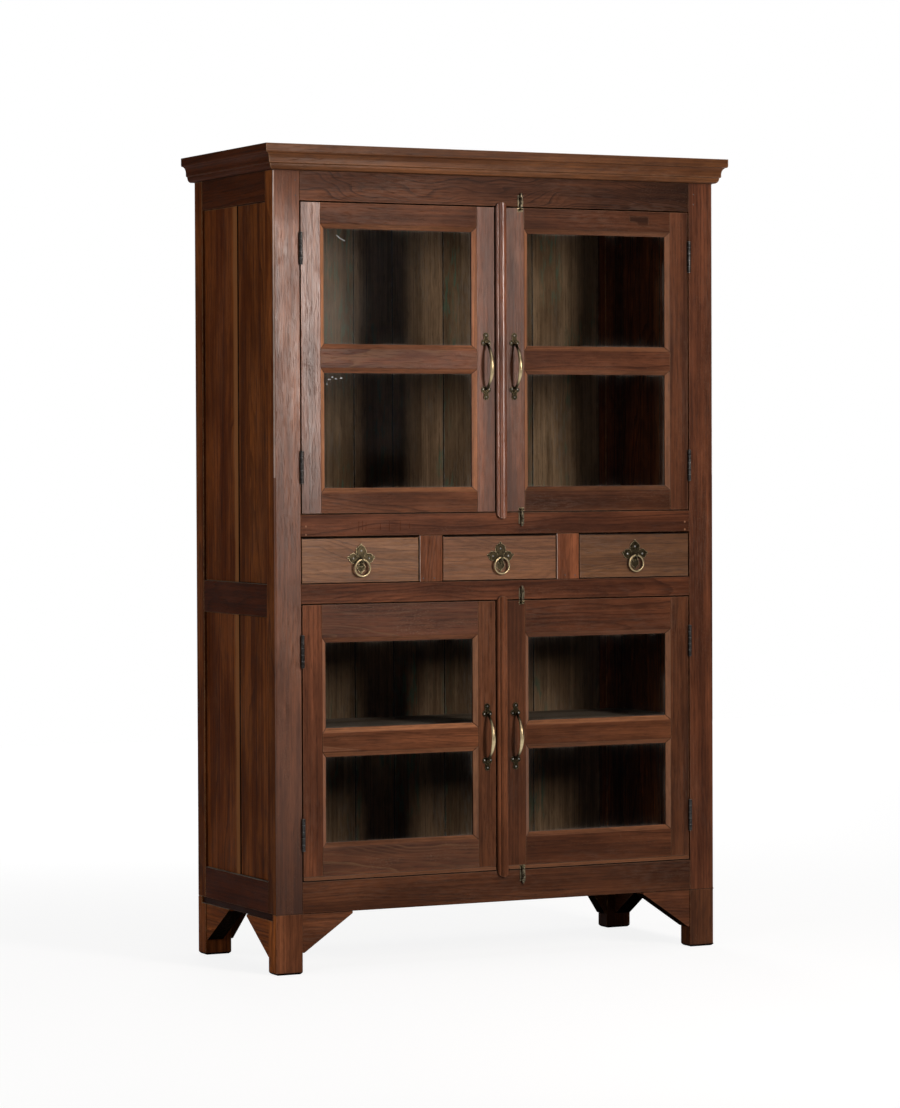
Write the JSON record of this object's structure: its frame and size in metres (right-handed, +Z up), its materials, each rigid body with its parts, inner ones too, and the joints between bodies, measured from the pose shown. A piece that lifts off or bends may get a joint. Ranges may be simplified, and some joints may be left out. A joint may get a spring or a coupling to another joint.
{
  "type": "display cabinet",
  "caption": "Floor-standing old teak display cabinet: moulded cornice, hinged glazed doors above and below a row of drawers, bracketed feet, brass bow pulls, ring pulls and sliding bolts.",
  "frame": {"origin": "centre of the whole outline on the floor", "axes": "+Z up, the doors and drawers face -Y, +X to the right as one looks at the front"},
  "size_m": [1.119, 0.473, 1.75],
  "materials": {
    "carcass_teak": "old varnish, worn",
    "side_teak": "old varnish, dusty",
    "door_teak": "old varnish, worn",
    "drawer_teak": "satin varnish",
    "cornice_teak": "old varnish, worn",
    "inner_teak": "unfinished",
    "aged_brass": "aged, bright where touched",
    "dark_iron": "blackened",
    "old_glass": "old sheet glass"
  },
  "bodies": {
    "carcass": {"front_left_post": "carcass_teak", "front_right_post": "carcass_teak", "back_posts": "inner_teak", "foot_blocks": "carcass_teak", "foot_brackets": "carcass_teak", "base_battens": "side_teak", "front_bottom_rail": "carcass_teak", "lower_mid_rail": "carcass_teak", "upper_mid_rail": "carcass_teak", "frieze_rail": "carcass_teak", "drawer_dividers": "carcass_teak", "side_rails": "side_teak", "side_boards": "side_teak", "back_rails": "inner_teak", "back_boards": "inner_teak", "cornice": "cornice_teak", "top_board": "inner_teak", "floors": "inner_teak", "shelves": "inner_teak", "shelf_cleats": "inner_teak", "drawer_guides": "inner_teak", "post_hinge_leaves": "dark_iron", "bolt_guides": "aged_brass"},
    "upper_left_door": {"upper_left_door_frame": "door_teak", "upper_left_door_panes": "old_glass", "upper_left_door_glazing_beads": "door_teak", "upper_left_door_pull": "aged_brass", "upper_left_door_hinge_leaves": "dark_iron"},
    "upper_right_door": {"upper_right_door_frame": "door_teak", "upper_right_door_panes": "old_glass", "upper_right_door_glazing_beads": "door_teak", "upper_right_door_pull": "aged_brass", "upper_right_door_hinge_leaves": "dark_iron", "upper_right_door_astragal": "door_teak", "upper_right_door_keepers": "aged_brass"},
    "lower_left_door": {"lower_left_door_frame": "door_teak", "lower_left_door_panes": "old_glass", "lower_left_door_glazing_beads": "door_teak", "lower_left_door_pull": "aged_brass", "lower_left_door_hinge_leaves": "dark_iron"},
    "lower_right_door": {"lower_right_door_frame": "door_teak", "lower_right_door_panes": "old_glass", "lower_right_door_glazing_beads": "door_teak", "lower_right_door_pull": "aged_brass", "lower_right_door_hinge_leaves": "dark_iron", "lower_right_door_astragal": "door_teak", "lower_right_door_keepers": "aged_brass"},
    "left_drawer": {"left_drawer_box": "drawer_teak", "left_drawer_pull_plate": "aged_brass"},
    "left_ring": {"left_drawer_ring": "aged_brass"},
    "middle_drawer": {"middle_drawer_box": "drawer_teak", "middle_drawer_pull_plate": "aged_brass"},
    "middle_ring": {"middle_drawer_ring": "aged_brass"},
    "right_drawer": {"right_drawer_box": "drawer_teak", "right_drawer_pull_plate": "aged_brass"},
    "right_ring": {"right_drawer_ring": "aged_brass"},
    "upper_top_bolt": {"upper_top_bolt": "aged_brass"},
    "upper_bottom_bolt": {"upper_bottom_bolt": "aged_brass"},
    "lower_top_bolt": {"lower_top_bolt": "aged_brass"},
    "lower_bottom_bolt": {"lower_bottom_bolt": "aged_brass"}
  },
  "joints": [
    {"name": "upper_left_door_hinge", "type": "hinge", "parent": "carcass", "child": "upper_left_door", "pos_m": [-0.4712, -0.20555, 1.3025], "axis": [0, 0, -1], "range_deg": [0, 170]},
    {"name": "upper_right_door_hinge", "type": "hinge", "parent": "carcass", "child": "upper_right_door", "pos_m": [0.4712, -0.20555, 1.3025], "axis": [0, 0, 1], "range_deg": [0, 170]},
    {"name": "lower_left_door_hinge", "type": "hinge", "parent": "carcass", "child": "lower_left_door", "pos_m": [-0.4712, -0.20555, 0.489], "axis": [0, 0, -1], "range_deg": [0, 170]},
    {"name": "lower_right_door_hinge", "type": "hinge", "parent": "carcass", "child": "lower_right_door", "pos_m": [0.4712, -0.20555, 0.489], "axis": [0, 0, 1], "range_deg": [0, 170]},
    {"name": "left_drawer_slide", "type": "slide", "parent": "carcass", "child": "left_drawer", "axis": [0, -1, 0], "range_m": [0, 0.3]},
    {"name": "left_ring_swing", "type": "hinge", "parent": "left_drawer", "child": "left_ring", "pos_m": [-0.33317, -0.21, 0.875], "axis": [-1, 0, 0], "range_deg": [0, 165]},
    {"name": "middle_drawer_slide", "type": "slide", "parent": "carcass", "child": "middle_drawer", "axis": [0, -1, 0], "range_m": [0, 0.3]},
    {"name": "middle_ring_swing", "type": "hinge", "parent": "middle_drawer", "child": "middle_ring", "pos_m": [0, -0.21, 0.875], "axis": [-1, 0, 0], "range_deg": [0, 165]},
    {"name": "right_drawer_slide", "type": "slide", "parent": "carcass", "child": "right_drawer", "axis": [0, -1, 0], "range_m": [0, 0.3]},
    {"name": "right_ring_swing", "type": "hinge", "parent": "right_drawer", "child": "right_ring", "pos_m": [0.33317, -0.21, 0.875], "axis": [-1, 0, 0], "range_deg": [0, 165]},
    {"name": "upper_top_bolt_slide", "type": "slide", "parent": "carcass", "child": "upper_top_bolt", "axis": [0, 0, -1], "range_m": [0, 0.007]},
    {"name": "upper_bottom_bolt_slide", "type": "slide", "parent": "carcass", "child": "upper_bottom_bolt", "axis": [0, 0, 1], "range_m": [0, 0.007]},
    {"name": "lower_top_bolt_slide", "type": "slide", "parent": "carcass", "child": "lower_top_bolt", "axis": [0, 0, -1], "range_m": [0, 0.007]},
    {"name": "lower_bottom_bolt_slide", "type": "slide", "parent": "carcass", "child": "lower_bottom_bolt", "axis": [0, 0, 1], "range_m": [0, 0.007]}
  ]
}
